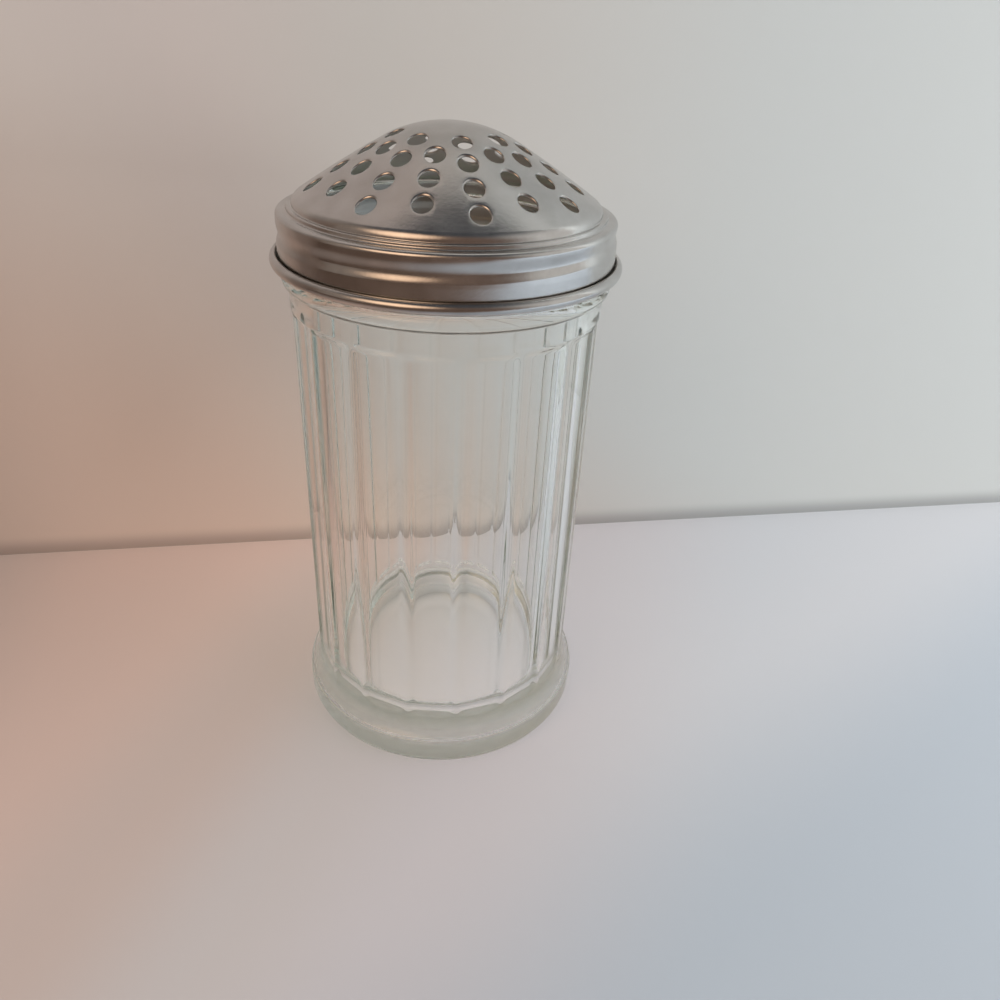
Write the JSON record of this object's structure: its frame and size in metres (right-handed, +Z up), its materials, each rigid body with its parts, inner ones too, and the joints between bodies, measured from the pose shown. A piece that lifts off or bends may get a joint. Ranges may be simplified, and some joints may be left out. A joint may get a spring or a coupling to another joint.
{
  "type": "cheese shaker",
  "caption": "Panelled clear glass jar with a thick coved foot and a domed, perforated sheet-steel screw lid for shaking out grated cheese.",
  "frame": {"origin": "middle of the foot, on the plane that it stands on", "axes": "+Z up along the axis of the jar and the lid, -Y towards the viewer of the picture"},
  "size_m": [0.0784, 0.0784, 0.1522],
  "materials": {
    "clear_glass": "clear pressed soda-lime glass, fire-polished, faintly green where it is thick",
    "lid_steel": "satin stamped sheet steel, lightly scuffed on the dome and brighter on the rolled edges"
  },
  "bodies": {
    "jar": {"glass_jar": "clear_glass"},
    "lid": {"perforated_lid": "lid_steel"}
  },
  "joints": [
    {"name": "lid_lift", "type": "slide", "parent": "jar", "child": "lid", "axis": [0, 0, 1], "range_m": [0, 0.06]}
  ]
}
